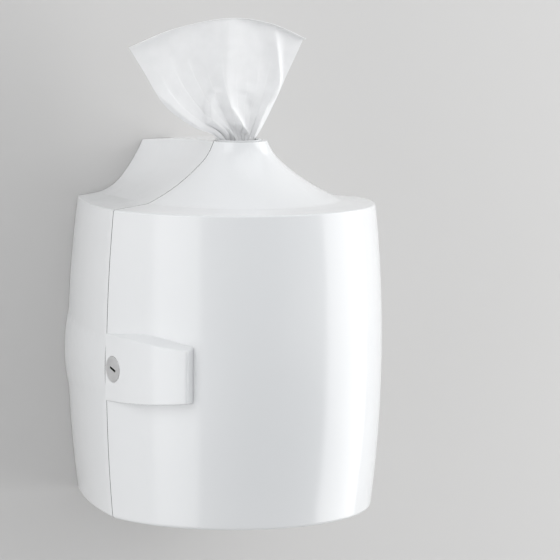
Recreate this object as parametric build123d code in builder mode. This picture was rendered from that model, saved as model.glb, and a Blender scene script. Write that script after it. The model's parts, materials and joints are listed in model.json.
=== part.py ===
"""Wall-mounted wipes dispenser: barrel-shaped case with a flared neck, millimetres.

The origin is the centre of the four wall screws, on the back face of the case.
+X is to the right, +Y goes into the wall and +Z is up. Heights are measured from the
level where the sides of the case turn under, and "forward" is measured from the parting plane towards the room.
"""

import os
from math import asin, cos, degrees, radians, sin, sqrt, tan

from build123d import *

os.makedirs("parts", exist_ok=True)

# Case: plan and barrel shape
belly_half_width = 139.7
belly_front = 142.9
belly_height = 143.3
barrel_span = 150.0
side_draw_in = 8.0
front_draw_in = 11.9
plan_setback = 10.4
rear_depth = 143.5
back_half_width = 97.0
back_draw_in = 12.5
side_bow = 6.0
case_wall = 3.0
height_zero = -155.0
underside_drop = 2.5
underside_radius = 4.0
ledge_radius = 2.0

# Shoulder and neck, at the parting plane and at the wall
neck_height = 338.0
neck_radius = 26.9
knee_half_width, knee_height = 38.2, 320.3
crease_half_width, crease_height = 97.0, 283.9
back_lip_half_width, back_lip_height = 16.0, 328.6
back_knee_half_width, back_knee_height = 36.3, 298.1
back_crease_half_width, back_crease_height = 66.0, 280.3
ridge_crown = 1.5
ledge_slope = 6.5
crease_slope = 14.0
knee_slope = 44.0
flare_bow = 3.3
throat_bow = 1.25
mouth_radius = 22.2

# Parting line
seam_gap = 0.7
tongue_reach = 4.0
tongue_root = 5.0
tongue_wall = 1.6
tongue_clearance = 0.6

# Wall screws
screw_spacing_x = 120.0
screw_spacing_z = 160.0
screw_hole_radius = 2.75
screw_pad_radius = 9.0
screw_pad_height = 1.5
back_rib_x = 32.0
back_rib_height = 5.0
back_rib_wall = 2.0

# Grip pad: its sections run from behind the parting plane to past its slanted front end,
# each as a share of the end's place, a drop of the top edge, a rise of the foot and the
# slope of the top
pad_stand_out = 0.5
pad_bow = 0.5
pad_above_lock = 30.5
pad_below_lock = 30.5
pad_depth = 24.0
pad_straight_share = 0.28
pad_end_share = 0.653
pad_end_stand_out = 14.6
pad_end_slant = 30.0
pad_top_radius = 2.5
pad_foot_radius = 1.5
pad_end_radius = 3.0
pad_sections = (
    (-0.14, 0.0, 0.0, 0.45),
    (0.0, 0.0, 0.0, 0.45),
    (0.28, 0.0, 1.5, 0.5),
    (0.54, 1.3, 3.1, 0.5),
    (0.75, 3.4, 4.6, 0.32),
    (0.91, 5.1, 6.2, 0.15),
    (1.07, 6.6, 8.6, 0.05),
)

# Bulge that carries the pad on to the wall: height, and reach below and above the lock
seam_bulge = (1.5, 32.5, 32.5)
back_bulge = (3.9, 42.0, 35.0)
bulge_overlap = 0.3

# Hinge
hinge_heights = {"lower": 60.0, "upper": 222.0}
hinge_stand_out = 1.9
knuckle_radius = 3.6
knuckle_length = 12.0
knuckle_gap = 0.4
hinge_arm_length = 14.0
hinge_pin_radius = 1.75
hinge_pin_clearance = 0.05
hinge_pin_head_radius = 3.0
hinge_pin_head = 1.5

# Lock
lock_forward = 14.0
lock_height = 137.5
lock_face_radius = 12.1
lock_face_depth = 2.4
lock_rim = 0.6
lock_body_radius = 9.0
lock_boss_radius = 15.5
lock_boss_rise = 4.6
lock_nut_radius = 12.3
lock_nut_thickness = 3.0
lock_fit = 0.05
lock_cam_room = 4.0
lock_end_gap = 0.6
plug_radius = 6.5
plug_recess = 1.3
key_slot_length, key_slot_width, key_slot_depth = 10.0, 2.2, 4.0
key_slot_tilt = 17.5
cam_thickness = 2.5
cam_arm_half_width = 4.0
cam_hub_radius = 7.0
cam_inner_radius = 28.2
cam_outer_radius = 32.4
cam_hook_angle = 22.0
cam_square = 6.0
cam_screw_radius = 1.9
cam_screw_head_radius = 3.8
cam_screw_head = 2.0

# Strike on the housing, which the cam hooks behind
strike_bar_near = 21.5
strike_bar_width = 4.0
strike_bar_top = 5.0
strike_bar_height = 5.0
strike_bar_length = 10.0
strike_plate_thickness = 2.0
strike_plate_length = 32.0
strike_plate_height = 44.0
strike_clearance = 0.6
strike_screw_spacing = 28.0
strike_screw_radius = 1.6
strike_screw_head_radius = 3.2
strike_screw_head = 1.6

# Nozzle: funnel, slit insert, retaining ring and bracket
funnel_stand_out = 1.2
funnel_radius = 21.5
funnel_mouth_radius = 19.0
funnel_throat_radius = 9.0
funnel_skirt_radius = 14.6
funnel_flange_radius = 26.0
funnel_flange_thickness = 3.0
funnel_flange_height = 309.0
funnel_skirt_drop = 13.0
funnel_collar_length = 8.0
insert_radius = 12.0
insert_thickness = 1.6
insert_hole_radius = 5.8
insert_slits = 6
insert_slit_length = 3.2
insert_slit_width = 0.8
retainer_thickness = 2.5
retainer_hole_radius = 8.5
nozzle_fit = 0.1
bracket_thickness = 2.5
bracket_ring_radius = 27.0
bracket_arm_half_width = 14.0
bracket_flange_drop = 40.0
bracket_boss_height = 8.0
bracket_boss_radius = 5.0
bracket_gusset_length = 60.0
bracket_gusset_wall = 2.5
bracket_screw_drops = (12.0, 30.0)
funnel_screw_circle = 20.8
funnel_screw_count = 3
small_screw_radius = 1.5
small_screw_head_radius = 2.7
small_screw_head = 1.8
screw_hole_clearance = 0.1

# Refill tray
tray_radius = 116.0
tray_height = 7.0
tray_base = 3.0
tray_wall = 2.2
tray_rim_height = 12.0
tray_boss_radius = 6.0
tray_screw_spots = ((0.0, 92.0), (-72.0, 52.0), (72.0, 52.0))
tray_screw_radius = 1.8
tray_screw_head_radius = 3.8
tray_screw_length = 6.0

# Refill: bag, roll and the wipe that is drawn from its middle
roll_radius = 110.0
roll_height = 203.0
roll_bore_radius = 19.0
bag_wall = 0.8
bag_slack = 2.5
bag_headroom = 6.0
bag_neck_radius = 84.0
bag_neck_rise = 15.0
soft_gap = 0.3
strand_radius = 5.3
strand_foot = 14.0
wipe_thickness = 1.6
wipe_neck_rise = 8.0
wipe_bunch_half_width = 14.5
wipe_bunch_depth = 4.5
wipe_left_reach, wipe_left_rise = -116.2, 88.1
wipe_right_reach, wipe_right_rise = 71.5, 91.7
wipe_crown_x, wipe_crown_rise = -12.0, 112.3

neck_axis_y = -rear_depth
mouth_height = neck_height + funnel_stand_out
hinge_reach = belly_half_width + hinge_stand_out
pad_reach = belly_half_width + pad_stand_out
pad_end_forward = pad_end_share * belly_front
pad_straight = pad_straight_share * pad_end_forward


def at_height(height):
    """Z of a height above the edge where the sides turn under."""
    return height_zero + height


def forward(distance):
    """Y of a distance in front of the parting plane."""
    return neck_axis_y - distance


# Outer form of the case, or of its hollow when inset by the wall
def case_half_widths(height, inset):
    """Half widths of the front ellipse, its half depth and the back half width."""
    rise = (height - belly_height) / barrel_span
    return (
        belly_half_width - side_draw_in * rise**2 - inset,
        belly_front - front_draw_in * rise**2 - inset,
        back_half_width - back_draw_in * rise**2 - inset,
    )


def seam_half_width(height, inset=0.0):
    """Half width of the case where the two shells meet."""
    half_width, half_depth, _ = case_half_widths(height, inset)
    return half_width * cos(asin(plan_setback / half_depth))


def case_plan(height, inset):
    """Plan of the case at one height: an elliptical front and bowed sides to the wall."""
    half_width, half_depth, back = case_half_widths(height, inset)
    dip = degrees(asin(plan_setback / half_depth))
    seam = seam_half_width(height, inset)
    with BuildSketch(Plane.XY.offset(at_height(height))) as plan:
        with BuildLine():
            EllipticalCenterArc(
                (0, neck_axis_y + plan_setback),
                half_width,
                half_depth,
                start_angle=180 + dip,
                arc_size=180 - 2 * dip,
            )
            SagittaArc((seam, neck_axis_y), (back, -inset), -side_bow)
            Line((back, -inset), (-back, -inset))
            SagittaArc((-back, -inset), (-seam, neck_axis_y), -side_bow)
        make_face()
    return plan.sketch


def inset_point(half_width, height, slope, inset):
    """A point of the shoulder profile, moved into the wall square to the surface."""
    angle = radians(slope)
    return half_width - inset * sin(angle), at_height(height) - inset * cos(angle)


def shoulder_points(share, inset):
    """Rim, crease, knee and lip of the shoulder, from 0 at the parting plane to 1 at the wall."""

    def between(front_value, back_value):
        return front_value + (back_value - front_value) * share

    crown = ridge_crown * 4 * share * (1 - share)
    crease = between(crease_half_width, back_crease_half_width)
    crease_level = between(crease_height, back_crease_height)
    rim = 1.25 * belly_half_width
    rim_level = crease_level - (rim - crease) * tan(radians(ledge_slope))
    lip = between(neck_radius, back_lip_half_width)
    return (
        (rim, at_height(rim_level) - inset),
        inset_point(crease, crease_level, crease_slope, inset),
        inset_point(
            between(knee_half_width, back_knee_half_width),
            between(knee_height, back_knee_height) + crown,
            knee_slope,
            inset,
        ),
        (lip - 0.7 * inset, at_height(between(neck_height, back_lip_height)) + crown - inset),
    )


def shoulder_front(inset):
    """Front half of the shoulder and neck, turned about the neck axis."""
    rim, crease, knee, lip = shoulder_points(0.0, inset)
    floor = at_height(inset - underside_drop)
    with BuildPart() as cap:
        with BuildSketch(Plane.XZ.offset(rear_depth)):
            with BuildLine():
                Polyline((0, lip[1]), (0, floor), (rim[0], floor), rim, crease)
                SagittaArc(crease, knee, flare_bow)
                SagittaArc(knee, lip, throat_bow)
                Line(lip, (0, lip[1]))
            make_face()
        revolve(axis=Axis((0, neck_axis_y, 0), (0, 0, 1)), revolution_arc=-180)
    return cap.part


def shoulder_ridge(inset):
    """Rear half: the neck runs back to the wall as a falling, narrowing ridge."""
    floor = at_height(inset - underside_drop)
    with BuildPart() as ridge:
        for share in (0.0, 0.5, 1.0):
            rim, crease, knee, lip = shoulder_points(share, inset)
            with BuildSketch(Plane.XZ.offset(rear_depth * (1 - share))):
                with BuildLine():
                    Polyline((-rim[0], rim[1]), (-rim[0], floor), (rim[0], floor), rim, crease)
                    SagittaArc(crease, knee, flare_bow)
                    SagittaArc(knee, lip, throat_bow)
                    Line(lip, (-lip[0], lip[1]))
                    SagittaArc((-lip[0], lip[1]), (-knee[0], knee[1]), throat_bow)
                    SagittaArc((-knee[0], knee[1]), (-crease[0], crease[1]), flare_bow)
                    Line((-crease[0], crease[1]), (-rim[0], rim[1]))
                make_face()
        loft()
    return ridge.part


def case_form(inset):
    """Barrel of the case under its shoulder, ridge and neck."""
    front_cap, ridge = shoulder_front(inset), shoulder_ridge(inset)
    with BuildPart() as caps:
        add([front_cap, ridge])
    below, above, steps = belly_height - barrel_span, neck_height + 7.0, 5
    with BuildPart() as form:
        for step in range(steps + 1):
            add(case_plan(below + (above - below) * step / steps, inset))
        loft()
        add(caps.part, mode=Mode.INTERSECT)
    return form.part


def ledge_edges(form):
    """Edges where the case sides meet the ledge of the shoulder."""
    reach = 1.1 * crease_half_width
    low, high = at_height(back_crease_height) - 8, at_height(crease_height) + 1
    found = []
    for edge in form.edges():
        box = edge.bounding_box()
        if low < box.min.Z and box.max.Z < high and box.max.X - box.min.X > 20:
            if max(abs(box.min.X), box.max.X) > reach and edge.length > 100:
                found.append(edge)
    return found


def underside_edges(form):
    """Edges round the underside, apart from those along the parting plane and the wall."""
    edges = form.faces().sort_by(Axis.Z)[0].edges()
    return [edge for edge in edges if edge.bounding_box().size.Y > 20]


def half_form(form, inset, keep):
    """The room side (TOP) or the wall side (BOTTOM) of the case or its hollow."""
    with BuildPart() as half:
        add(form)
        split(bisect_by=seam_plane, keep=keep)
        fillet(underside_edges(half.part), radius=underside_radius - inset)
        if inset == 0:
            fillet(ledge_edges(half.part), radius=ledge_radius)
    return half.part


seam_plane = Plane.XZ.offset(rear_depth)
case_outside, case_inside = case_form(0), case_form(case_wall)
front_form = half_form(case_outside, 0, Keep.TOP)
front_hollow = half_form(case_inside, case_wall, Keep.TOP)
rear_form = half_form(case_outside, 0, Keep.BOTTOM)
rear_hollow = half_form(case_inside, case_wall, Keep.BOTTOM)


# Grip pad on the cover and the bulge that carries it on to the wall
def front_half_width(height, distance):
    """Half width of the case at a distance in front of the parting plane."""
    half_width, half_depth, _ = case_half_widths(height, 0)
    return half_width * sqrt(1 - ((distance + plan_setback) / half_depth) ** 2)


pad_end_half_width = front_half_width(lock_height, pad_end_forward) + pad_end_stand_out
pad_narrowing = pad_reach - pad_end_half_width
pad_arc = (pad_narrowing**2 + (pad_end_forward - pad_straight) ** 2) / (2 * pad_narrowing)


def pad_half_width(distance):
    """Half width of the pad's face: straight by the seam, then on an arc to its front end."""
    past = max(distance - pad_straight, 0)
    return pad_reach - pad_arc + sqrt(pad_arc**2 - past**2)


def pad_rim(pad, low, high):
    """Outer edges of the pad's top or foot, between two heights."""
    found = []
    for edge in pad.edges():
        box = edge.bounding_box()
        level = at_height(low) < box.min.Z and box.max.Z < at_height(high) and box.size.Y > 0.3
        if level and (box.min.X < -pad_reach + pad_depth / 2 or edge.length < pad_depth):
            found.append(edge)
    return found


def grip_pad(inset):
    """Block beside the lock with a sloping top, rounded edges and a slanted front end."""
    with BuildPart() as pad:
        for share, drop, rise, slope in pad_sections:
            distance = share * pad_end_forward
            face = -pad_half_width(distance) + inset
            foot = at_height(lock_height - pad_below_lock + rise) + inset
            top = at_height(lock_height + pad_above_lock - drop) - inset
            with BuildSketch(Plane.XZ.offset(-forward(distance))):
                with BuildLine():
                    ThreePointArc((face, foot), (face - pad_bow, (foot + top) / 2), (face, top))
                    Polyline(
                        (face, top),
                        (face + pad_depth, top + slope * pad_depth),
                        (face + pad_depth, foot),
                        (face, foot),
                    )
                make_face()
        loft()
        slant = radians(pad_end_slant)
        front_end = Plane(
            origin=(inset / 2 - pad_end_half_width, forward(pad_end_forward - inset), 0),
            z_dir=(sin(slant), -cos(slant), 0),
        )
        split(bisect_by=front_end, keep=Keep.BOTTOM)
        if inset == 0:
            upright = pad.edges().filter_by(lambda edge: edge.bounding_box().size.Z > pad_depth)
            fillet(upright.sort_by(lambda edge: edge.center().Y + edge.center().X)[:1],
                   radius=pad_end_radius)
            fillet(pad_rim(pad, lock_height, neck_height), radius=pad_top_radius)
            fillet(pad_rim(pad, 0, lock_height), radius=pad_foot_radius)
    return pad.part


def side_half_width(height, back):
    """Half width of the case side at a distance behind the parting plane."""
    share = back / rear_depth
    seam, end = seam_half_width(height), case_half_widths(height, 0)[2]
    return seam + (end - seam) * share + 4 * side_bow * share * (1 - share)


def bulge_section(share):
    """Low swelling of the case side as one arc, at a share of the way to the wall."""
    back = share * rear_depth
    swell, below, above = [
        near + (far - near) * share for near, far in zip(seam_bulge, back_bulge)
    ]
    low, high = lock_height - below, lock_height + above
    middle = (low + high) / 2
    start = (bulge_overlap - side_half_width(low, back), at_height(low))
    crest = (-swell - side_half_width(middle, back), at_height(middle))
    end = (bulge_overlap - side_half_width(high, back), at_height(high))
    root = 0.6 * case_wall - side_half_width(lock_height, back)
    with BuildSketch(Plane.XZ.offset(rear_depth - back)) as section:
        with BuildLine():
            ThreePointArc(start, crest, end)
            Polyline(end, (root, end[1]), (root, start[1]), start)
        make_face()
    return section.sketch


with BuildPart() as side_bulge:
    for share in (0.0, 0.5, 1.0):
        add(bulge_section(share))
    loft()

pad_form, pad_hollow = grip_pad(0), grip_pad(case_wall)
lock_x = -pad_reach - pad_bow / 2
lock_axis = (forward(lock_forward), at_height(lock_height))


def save(part, name):
    """Label a finished piece and write it under its name."""
    part.label = name
    export_step(part, f"parts/{name}.step")


def x_cylinder(start, length, radius, y, z):
    """Round bar along +X from a start plane."""
    with BuildPart() as bar:
        with BuildSketch(Plane.YZ.offset(start)):
            with Locations((y, z)):
                Circle(radius)
        extrude(amount=length)
    return bar.part


def y_cylinder(start, length, radius, x, z):
    """Round bar along -Y, out of the wall, from a start plane."""
    with BuildPart() as bar:
        with BuildSketch(Plane.XZ.offset(-start)):
            with Locations((x, z)):
                Circle(radius)
        extrude(amount=length)
    return bar.part


def z_cylinder(height, length, radius, x=0.0, y=neck_axis_y):
    """Upright round bar from a height above the underside of the case."""
    with BuildPart() as bar:
        with BuildSketch(Plane.XY.offset(at_height(height))):
            with Locations((x, y)):
                Circle(radius)
        extrude(amount=length)
    return bar.part


mouth_cut = z_cylinder(neck_height - 12, 24, mouth_radius)


# Hinge knuckles: the cover's knuckle turns between two of the housing
def hinge_arm(height, length, side):
    """Knuckle and the arm that ties it to a shell, side -1 for the cover, 1 for the housing."""
    root = seam_half_width(height) - 0.7 * case_wall
    near = neck_axis_y + side * (seam_gap + 0.4)
    with BuildPart() as arm:
        with BuildSketch(Plane.XY.offset(at_height(height - length / 2))):
            with Locations((hinge_reach, neck_axis_y)):
                Circle(knuckle_radius)
            with BuildLine():
                Polyline(
                    (hinge_reach, near),
                    (hinge_reach, neck_axis_y + side * knuckle_radius),
                    (root, neck_axis_y + side * hinge_arm_length),
                    (root, near),
                    close=True,
                )
            make_face()
        extrude(amount=length)
    return arm.part


hinge_step = knuckle_length + knuckle_gap
pin_hole_radius = hinge_pin_radius + hinge_pin_clearance
housing_arms = [
    hinge_arm(height + side * hinge_step, knuckle_length, 1)
    for height in hinge_heights.values()
    for side in (-1, 1)
]
cover_arms = [hinge_arm(height, knuckle_length, -1) for height in hinge_heights.values()]
pin_holes = [
    z_cylinder(height - 2 * hinge_step, 4 * hinge_step, pin_hole_radius, hinge_reach)
    for height in hinge_heights.values()
]

# Front cover
boss_end = case_wall + lock_boss_rise - seam_half_width(lock_height)
lock_boss = x_cylinder(lock_x + 1, boss_end - lock_x - 1, lock_boss_radius, *lock_axis)
lock_seat = x_cylinder(lock_x - 1, 1 + lock_face_depth, lock_face_radius + lock_fit, *lock_axis)
lock_bore = x_cylinder(lock_x - 1, boss_end - lock_x + 2, lock_body_radius + lock_fit, *lock_axis)
with BuildPart() as front_cover:
    add([front_form, pad_form])
    add([front_hollow, pad_hollow], mode=Mode.SUBTRACT)
    add(lock_boss)
    add([lock_seat, lock_bore, mouth_cut], mode=Mode.SUBTRACT)
    split(bisect_by=seam_plane.offset(seam_gap), keep=Keep.TOP)
    add(cover_arms)
    add(pin_holes, mode=Mode.SUBTRACT)
save(front_cover.part, "front_cover")

# Rear housing: tongue that the cover closes over, bosses, ribs and wall screw holes
tongue_inset = case_wall + tongue_clearance
tongue_outside = half_form(case_form(tongue_inset), tongue_inset, Keep.TOP)
tongue_inside = case_form(tongue_inset + tongue_wall)


def seam_slab(front, back):
    """Slab along the parting plane, from in front of it to behind it."""
    with BuildPart() as slab:
        with BuildSketch(seam_plane.offset(front)):
            with Locations((0, at_height(neck_height / 2))):
                Rectangle(3 * belly_half_width, 1.5 * neck_height)
        extrude(amount=-front - back)
    return slab.part


tongue_slab, root_slab = seam_slab(tongue_reach, 0), seam_slab(0, tongue_root)
with BuildPart() as tongue_base:
    add(rear_form)
    add(root_slab, mode=Mode.INTERSECT)
with BuildPart() as tongue_front:
    add(tongue_outside)
    add(tongue_slab, mode=Mode.INTERSECT)
with BuildPart() as tongue_ring:
    add([tongue_base.part, tongue_front.part])
    add(tongue_inside, mode=Mode.SUBTRACT)
    with BuildSketch(Plane.YZ.offset(-belly_half_width)):
        with Locations(lock_axis):
            Circle(lock_boss_radius + 1.5)
    extrude(amount=20, mode=Mode.SUBTRACT)

housing_bosses = []
floor_middle = case_wall / 2 - underside_drop
for x, back in tray_screw_spots:
    boss_y = neck_axis_y + back
    housing_bosses.append(
        z_cylinder(floor_middle, tray_height - floor_middle, tray_boss_radius, x, boss_y)
    )
bracket_top = funnel_flange_height
bracket_level = bracket_top - bracket_thickness
boss_face = -case_wall - bracket_boss_height
for drop in bracket_screw_drops:
    housing_bosses.append(
        y_cylinder(-1, case_wall - 1 + bracket_boss_height, bracket_boss_radius, 0,
                   at_height(bracket_level - drop))
    )
for x in (-screw_spacing_x / 2, screw_spacing_x / 2):
    for z in (-screw_spacing_z / 2, screw_spacing_z / 2):
        housing_bosses.append(
            y_cylinder(-1, case_wall - 1 + screw_pad_height, screw_pad_radius, x, z)
        )

strike_near = strike_bar_near - lock_forward
strike_far = strike_near + strike_plate_length
strike_face_x = -side_half_width(lock_height, strike_far) + case_wall + 2.3
with BuildPart() as strike_boss:
    with BuildSketch(Plane.XY.offset(at_height(lock_height - strike_plate_height / 2))):
        near, far = strike_near + 2.5, strike_far
        with BuildLine():
            Polyline(
                (strike_face_x, neck_axis_y + near),
                (-side_half_width(lock_height, near) + case_wall / 2 + 0.5, neck_axis_y + near),
                (-side_half_width(lock_height, far) + case_wall / 2 + 0.5, neck_axis_y + far),
                (strike_face_x, neck_axis_y + far),
                close=True,
            )
        make_face()
    extrude(amount=strike_plate_height)

with BuildPart() as rear_housing:
    add([rear_form, side_bulge.part])
    add(rear_hollow, mode=Mode.SUBTRACT)
    add([tongue_ring.part, strike_boss.part] + housing_bosses + housing_arms)
    with BuildSketch(Plane.XZ.offset(case_wall - 0.5)):
        with GridLocations(2 * back_rib_x, 0, 2, 1):
            with Locations((0, at_height(belly_height) - 10)):
                Rectangle(back_rib_wall, 1.6 * belly_height)
    extrude(amount=back_rib_height)
    add([mouth_cut] + pin_holes, mode=Mode.SUBTRACT)
    for x, back in tray_screw_spots:
        with BuildSketch(Plane.XY.offset(at_height(tray_height))):
            with Locations((x, neck_axis_y + back)):
                Circle(tray_screw_radius + screw_hole_clearance)
        extrude(amount=-tray_screw_length + tray_base, mode=Mode.SUBTRACT)
    for drop in bracket_screw_drops:
        with BuildSketch(Plane.XZ.offset(-boss_face)):
            with Locations((0, at_height(bracket_level - drop))):
                Circle(small_screw_radius + screw_hole_clearance)
        extrude(amount=-bracket_boss_height, mode=Mode.SUBTRACT)
    for side in (-0.5, 0.5):
        with BuildSketch(Plane.YZ.offset(strike_face_x)):
            with Locations((neck_axis_y + strike_far - 12, at_height(lock_height)
                            + side * strike_screw_spacing)):
                Circle(strike_screw_radius + screw_hole_clearance)
        extrude(amount=-5, mode=Mode.SUBTRACT)
    with BuildSketch(Plane.XZ):
        with GridLocations(screw_spacing_x, screw_spacing_z, 2, 2):
            Circle(screw_hole_radius)
    extrude(amount=case_wall + screw_pad_height, mode=Mode.SUBTRACT)
save(rear_housing.part, "rear_housing")

# Hinge pins with their heads on the upper knuckles
for name, height in hinge_heights.items():
    foot = height - hinge_step - knuckle_length / 2
    top = height + hinge_step + knuckle_length / 2
    with BuildPart() as hinge_pin:
        add(z_cylinder(foot, top - foot, hinge_pin_radius, hinge_reach))
        add(z_cylinder(top, hinge_pin_head, hinge_pin_head_radius, hinge_reach))
        fillet(hinge_pin.edges().sort_by(Axis.Z)[-1:], radius=hinge_pin_head / 3)
        chamfer(hinge_pin.edges().sort_by(Axis.Z)[:1], length=hinge_pin_radius / 4)
    save(hinge_pin.part, f"{name}_hinge_pin")

# Lock: barrel with its face, key plug, nut, cam and cam screw
barrel_face = lock_x - 0.3
barrel_back = lock_x + lock_face_depth
cam_start = boss_end + lock_nut_thickness + lock_cam_room
barrel_end = cam_start - lock_end_gap
barrel_length = barrel_end - barrel_face
plug_head_radius = lock_face_radius - lock_rim
with BuildPart() as lock_barrel:
    add(x_cylinder(barrel_face, barrel_back - barrel_face, lock_face_radius, *lock_axis))
    add(x_cylinder(barrel_back, barrel_end - barrel_back, lock_body_radius, *lock_axis))
    add(x_cylinder(barrel_face, plug_recess, plug_head_radius + lock_fit, *lock_axis),
        mode=Mode.SUBTRACT)
    add(x_cylinder(barrel_face, barrel_length, plug_radius + lock_fit, *lock_axis),
        mode=Mode.SUBTRACT)
save(lock_barrel.part, "lock_barrel")

stem_end = cam_start + cam_thickness
with BuildPart() as lock_plug:
    add(x_cylinder(barrel_face - 0.2, plug_recess + 0.15, plug_head_radius, *lock_axis))
    add(x_cylinder(barrel_face, cam_start - barrel_face, plug_radius, *lock_axis))
    with BuildSketch(Plane.YZ.offset(cam_start)):
        with Locations(lock_axis):
            Rectangle(cam_square, cam_square)
    extrude(amount=cam_thickness)
    with BuildSketch(Plane.YZ.offset(barrel_face - 1)):
        with Locations(Location((*lock_axis, 0), (0, 0, key_slot_tilt))):
            SlotOverall(key_slot_length, key_slot_width)
    extrude(amount=1 + key_slot_depth, mode=Mode.SUBTRACT)
    add(x_cylinder(stem_end - 8, 10, cam_screw_radius + 0.05, *lock_axis), mode=Mode.SUBTRACT)
save(lock_plug.part, "lock_plug")

with BuildPart() as lock_nut:
    with BuildSketch(Plane.YZ.offset(boss_end)):
        with Locations(lock_axis):
            RegularPolygon(lock_nut_radius, 6)
            Circle(lock_body_radius + lock_fit, mode=Mode.SUBTRACT)
    extrude(amount=lock_nut_thickness)
save(lock_nut.part, "lock_nut")


def ring_point(radius, angle):
    """Y and Z of a point round the lock axis, 0 degrees towards the wall and 90 up."""
    return (
        lock_axis[0] + radius * cos(radians(angle)),
        lock_axis[1] + radius * sin(radians(angle)),
    )


hook_start = 90 - cam_hook_angle
hook_end = 90 + degrees(asin(cam_arm_half_width / cam_outer_radius))
with BuildPart() as lock_cam:
    with BuildSketch(Plane.YZ.offset(cam_start)):
        with Locations(lock_axis):
            Circle(cam_hub_radius)
        with Locations((lock_axis[0], lock_axis[1] + cam_inner_radius / 2)):
            Rectangle(2 * cam_arm_half_width, cam_inner_radius)
        with BuildLine():
            hook_tip = (hook_start + hook_end) / 2
            inner = ThreePointArc(
                ring_point(cam_inner_radius, hook_start),
                ring_point(cam_inner_radius, hook_tip),
                ring_point(cam_inner_radius, hook_end),
            )
            outer = ThreePointArc(
                ring_point(cam_outer_radius, hook_start),
                ring_point(cam_outer_radius, hook_tip),
                ring_point(cam_outer_radius, hook_end),
            )
            Line(inner @ 0, outer @ 0)
            Line(inner @ 1, outer @ 1)
        make_face()
        with Locations(lock_axis):
            Rectangle(cam_square + 0.1, cam_square + 0.1, mode=Mode.SUBTRACT)
    extrude(amount=cam_thickness)
save(lock_cam.part, "lock_cam")

with BuildPart() as cam_screw:
    add(x_cylinder(stem_end, cam_screw_head, cam_screw_head_radius, *lock_axis))
    add(x_cylinder(stem_end - 7, 7, cam_screw_radius, *lock_axis))
    with BuildSketch(Plane.YZ.offset(stem_end + cam_screw_head)):
        with Locations(lock_axis):
            Rectangle(cam_screw_head_radius * 1.2, 0.9)
            Rectangle(0.9, cam_screw_head_radius * 1.2)
    extrude(amount=-cam_screw_head / 2, mode=Mode.SUBTRACT)
save(cam_screw.part, "cam_screw")

# Strike plate with the bar that the cam hooks behind
plate_middle = neck_axis_y + strike_near + strike_plate_length / 2
screw_y = neck_axis_y + strike_far - 12
with BuildPart() as strike_plate:
    with BuildSketch(Plane.YZ.offset(strike_face_x)):
        with Locations((plate_middle, lock_axis[1])):
            RectangleRounded(strike_plate_length, strike_plate_height, 3)
        with Locations((screw_y, lock_axis[1])):
            with GridLocations(0, strike_screw_spacing, 1, 2):
                Circle(strike_screw_radius + screw_hole_clearance, mode=Mode.SUBTRACT)
    extrude(amount=strike_plate_thickness)
    bar_top = lock_axis[1] - strike_bar_top
    with BuildSketch(Plane.YZ.offset(strike_face_x)):
        with Locations((neck_axis_y + strike_near + strike_bar_width / 2,
                        bar_top - strike_bar_height / 2)):
            Rectangle(strike_bar_width, strike_bar_height)
    extrude(amount=strike_bar_length)
save(strike_plate.part, "strike_plate")

strike_screw_seat = strike_face_x + strike_plate_thickness
with BuildPart() as strike_screws:
    for side in (-0.5, 0.5):
        spot = (screw_y, lock_axis[1] + side * strike_screw_spacing)
        add(x_cylinder(strike_screw_seat, strike_screw_head, strike_screw_head_radius, *spot))
        add(x_cylinder(strike_screw_seat - 6, 6, strike_screw_radius, *spot))
save(strike_screws.part, "strike_screws")

# Nozzle bracket: ring under the funnel, arm, gussets and a flange on the back wall
flange_back = boss_face
flange_front = boss_face - bracket_thickness
with BuildPart() as nozzle_bracket:
    with BuildSketch(Plane.XY.offset(at_height(bracket_level))):
        with Locations((0, neck_axis_y)):
            Circle(bracket_ring_radius)
        with BuildLine():
            Polyline(
                (-bracket_ring_radius * 0.95, neck_axis_y),
                (bracket_ring_radius * 0.95, neck_axis_y),
                (bracket_arm_half_width, flange_back),
                (-bracket_arm_half_width, flange_back),
                close=True,
            )
        make_face()
        with Locations((0, neck_axis_y)):
            Circle(funnel_skirt_radius + nozzle_fit, mode=Mode.SUBTRACT)
            with PolarLocations(funnel_screw_circle, funnel_screw_count, start_angle=90):
                Circle(small_screw_radius + screw_hole_clearance, mode=Mode.SUBTRACT)
    extrude(amount=bracket_thickness)
    with BuildSketch(Plane.XZ.offset(-flange_back)):
        with Locations((0, at_height(bracket_top - bracket_flange_drop / 2))):
            Rectangle(2 * bracket_arm_half_width, bracket_flange_drop)
        for drop in bracket_screw_drops:
            with Locations((0, at_height(bracket_level - drop))):
                Circle(small_screw_radius + screw_hole_clearance, mode=Mode.SUBTRACT)
    extrude(amount=bracket_thickness)
    for side in (-1, 1):
        edge = side * (bracket_arm_half_width - bracket_gusset_wall / 2)
        with BuildSketch(Plane.YZ.offset(edge - bracket_gusset_wall / 2)):
            with BuildLine():
                Polyline(
                    (flange_front, at_height(bracket_top - bracket_flange_drop + 2)),
                    (flange_front, at_height(bracket_level)),
                    (flange_front - bracket_gusset_length, at_height(bracket_level)),
                    close=True,
                )
            make_face()
        extrude(amount=bracket_gusset_wall)
save(nozzle_bracket.part, "nozzle_bracket")

with BuildPart() as bracket_screws:
    for drop in bracket_screw_drops:
        z = at_height(bracket_level - drop)
        add(y_cylinder(flange_front, small_screw_head, small_screw_head_radius, 0, z))
        add(y_cylinder(flange_front + 7, 7, small_screw_radius, 0, z))
save(bracket_screws.part, "bracket_screws")

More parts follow.
